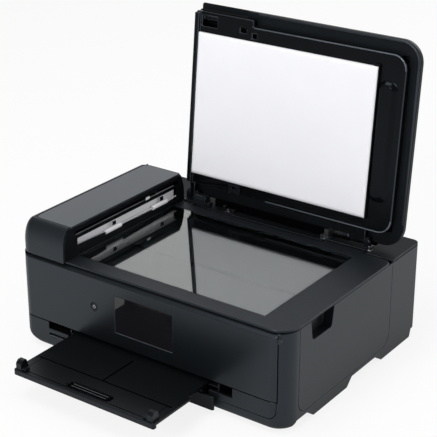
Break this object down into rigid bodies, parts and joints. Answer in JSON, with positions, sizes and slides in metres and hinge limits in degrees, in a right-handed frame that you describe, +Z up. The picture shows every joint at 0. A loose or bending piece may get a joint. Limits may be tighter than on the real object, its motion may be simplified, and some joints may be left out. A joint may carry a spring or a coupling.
{
  "type": "inkjet printer",
  "caption": "All-in-one inkjet printer with a flatbed scanner, opened lid, side document feeder, tilting touch panel, output tray and paper cassette.",
  "frame": {"origin": "middle of the bounding box at floor level, lid open and output tray out", "axes": "+X to the right as seen from the front, +Y to the rear, +Z up"},
  "size_m": [0.438, 0.46, 0.4359],
  "materials": {
    "case_plastic": "satin",
    "frame_plastic": "satin",
    "feeder_top_plastic": "satin",
    "tray_plastic": "satin",
    "inner_plastic": "matte",
    "display_glass": "gloss",
    "scan_glass": "gloss",
    "button_plastic": "satin",
    "pad_white": "matte",
    "pad_foam": "matte",
    "guide_white": "satin",
    "gear_plastic": "satin",
    "sheet_steel": "satin",
    "shaft_steel": "polished",
    "motor_steel": "satin",
    "rubber": "matte",
    "roller_rubber": "matte",
    "circuit_board": "satin",
    "tank_plastic": "satin",
    "head_plate": "satin",
    "socket_plastic": "satin"
  },
  "bodies": {
    "base": {"outer_case": "case_plastic", "rubber_feet": "rubber", "case_screws": "shaft_steel", "right_side_cover": "case_plastic", "left_side_cover": "case_plastic", "lower_front_cover": "case_plastic", "card_slot": "socket_plastic", "rear_top_frame": "frame_plastic", "rear_paper_bed": "inner_plastic", "left_chassis_plate": "sheet_steel", "right_chassis_plate": "sheet_steel", "drive_motor": "motor_steel", "print_platen": "inner_plastic", "maintenance_unit": "inner_plastic", "carriage_rail": "sheet_steel", "carriage_motor": "motor_steel", "logic_board": "circuit_board", "power_supply": "socket_plastic", "power_inlet": "socket_plastic", "rear_ports": "socket_plastic", "hinge_pins": "shaft_steel"},
    "scanner_unit": {"platen_frame": "frame_plastic", "scan_glass": "scan_glass", "scanner_tub": "inner_plastic", "feeder_housing": "case_plastic", "feeder_inner_wall": "case_plastic", "feeder_guide_strip": "guide_white", "lid_hinge_brackets": "frame_plastic", "lid_hinge_pins": "shaft_steel"},
    "scan_carriage": {"scan_carriage": "inner_plastic", "image_sensor": "inner_plastic"},
    "feeder_cover": {"feeder_cover": "feeder_top_plastic"},
    "feeder_exit_roller": {"feeder_exit_roller": "guide_white"},
    "document_cover": {"lid_outer_shell": "case_plastic", "lid_inner_frame": "frame_plastic", "lid_pad_foam": "pad_foam", "lid_pad_sheet": "pad_white"},
    "document_tray": {"document_tray": "case_plastic"},
    "operation_panel": {"panel_shell": "case_plastic", "touch_screen": "display_glass", "screen_module": "inner_plastic"},
    "power_button": {"power_button": "button_plastic"},
    "output_tray": {"output_tray": "tray_plastic"},
    "output_support": {"output_support": "tray_plastic"},
    "paper_cassette": {"paper_cassette": "tray_plastic"},
    "cassette_guide_left": {"cassette_guide_left": "inner_plastic"},
    "cassette_guide_right": {"cassette_guide_right": "inner_plastic"},
    "rear_tray_cover": {"rear_tray_cover": "frame_plastic"},
    "rear_guide_left": {"rear_guide_left": "inner_plastic"},
    "rear_guide_right": {"rear_guide_right": "inner_plastic"},
    "print_carriage": {"carriage_body": "inner_plastic", "ink_tanks": "tank_plastic", "print_head": "head_plate"},
    "feed_roller": {"feed_roller": "roller_rubber", "feed_gear": "gear_plastic"},
    "exit_roller": {"exit_roller": "roller_rubber", "exit_gear": "gear_plastic"},
    "idler_gear": {"idler_gear": "gear_plastic"},
    "motor_pinion": {"motor_pinion": "gear_plastic"},
    "rear_pick_roller": {"rear_pick_roller": "roller_rubber"}
  },
  "joints": [
    {"name": "scanner_lift", "type": "hinge", "parent": "base", "child": "scanner_unit", "pos_m": [0, 0.185, 0.136], "axis": [-1, 0, 0], "range_deg": [0, 28]},
    {"name": "lid_hinge", "type": "hinge", "parent": "scanner_unit", "child": "document_cover", "pos_m": [0, 0.1679, 0.15485], "axis": [-1, 0, 0], "range_deg": [-95.6, 0]},
    {"name": "document_tray_hinge", "type": "hinge", "parent": "document_cover", "child": "document_tray", "pos_m": [-0.121, 0.20445, 0.28531], "axis": [0, -0.0976, -0.9952], "range_deg": [-35, 0]},
    {"name": "feeder_cover_hinge", "type": "hinge", "parent": "scanner_unit", "child": "feeder_cover", "pos_m": [-0.2015, 0.026, 0.1887], "axis": [0, -1, 0], "range_deg": [0, 60]},
    {"name": "feeder_exit_spin", "type": "hinge", "parent": "scanner_unit", "child": "feeder_exit_roller", "pos_m": [-0.1408, 0.026, 0.1564], "axis": [0, 1, 0], "continuous": true},
    {"name": "scan_slide", "type": "slide", "parent": "scanner_unit", "child": "scan_carriage", "axis": [1, 0, 0], "range_m": [0, 0.3]},
    {"name": "panel_tilt", "type": "hinge", "parent": "base", "child": "operation_panel", "pos_m": [0, -0.104, 0.132], "axis": [1, 0, 0], "range_deg": [-45, 0]},
    {"name": "power_press", "type": "slide", "parent": "operation_panel", "child": "power_button", "axis": [0, 1, 0], "range_m": [0, 0.001], "stiffness_N_per_m": 400},
    {"name": "output_tray_slide", "type": "slide", "parent": "base", "child": "output_tray", "axis": [0, 1, 0], "range_m": [0, 0.097]},
    {"name": "output_support_hinge", "type": "hinge", "parent": "output_tray", "child": "output_support", "pos_m": [0, -0.2255, 0.042], "axis": [-1, 0, 0], "range_deg": [-165, 0]},
    {"name": "cassette_slide", "type": "slide", "parent": "base", "child": "paper_cassette", "axis": [0, -1, 0], "range_m": [0, 0.16]},
    {"name": "cassette_guide_left_slide", "type": "slide", "parent": "paper_cassette", "child": "cassette_guide_left", "axis": [1, 0, 0], "range_m": [0, 0.045]},
    {"name": "cassette_guide_right_slide", "type": "slide", "parent": "paper_cassette", "child": "cassette_guide_right", "axis": [1, 0, 0], "range_m": [-0.045, 0]},
    {"name": "rear_cover_hinge", "type": "hinge", "parent": "base", "child": "rear_tray_cover", "pos_m": [0, 0.227, 0.1429], "axis": [1, 0, 0], "range_deg": [-100, 0]},
    {"name": "rear_guide_left_slide", "type": "slide", "parent": "base", "child": "rear_guide_left", "axis": [1, 0, 0], "range_m": [0, 0.05]},
    {"name": "rear_guide_right_slide", "type": "slide", "parent": "base", "child": "rear_guide_right", "axis": [1, 0, 0], "range_m": [-0.05, 0]},
    {"name": "carriage_slide", "type": "slide", "parent": "base", "child": "print_carriage", "axis": [1, 0, 0], "range_m": [-0.23, 0]},
    {"name": "feed_spin", "type": "hinge", "parent": "base", "child": "feed_roller", "pos_m": [0, 0.054, 0.058], "axis": [1, 0, 0], "continuous": true},
    {"name": "exit_spin", "type": "hinge", "parent": "base", "child": "exit_roller", "pos_m": [0, -0.033, 0.052], "axis": [1, 0, 0], "continuous": true},
    {"name": "idler_spin", "type": "hinge", "parent": "base", "child": "idler_gear", "pos_m": [-0.197, 0.00751, 0.05479], "axis": [1, 0, 0], "continuous": true},
    {"name": "pinion_spin", "type": "hinge", "parent": "base", "child": "motor_pinion", "pos_m": [-0.197, 0.07821, 0.03769], "axis": [1, 0, 0], "continuous": true},
    {"name": "rear_pick_spin", "type": "hinge", "parent": "base", "child": "rear_pick_roller", "pos_m": [0, 0.13625, 0.09143], "axis": [1, 0, 0], "continuous": true}
  ],
  "couplings": [
    {"joint": "cassette_guide_right_slide", "follows": "cassette_guide_left_slide", "ratio": -1},
    {"joint": "rear_guide_right_slide", "follows": "rear_guide_left_slide", "ratio": -1},
    {"joint": "idler_spin", "follows": "feed_spin", "ratio": -0.82353},
    {"joint": "exit_spin", "follows": "feed_spin", "ratio": 1.4},
    {"joint": "pinion_spin", "follows": "feed_spin", "ratio": -2}
  ]
}
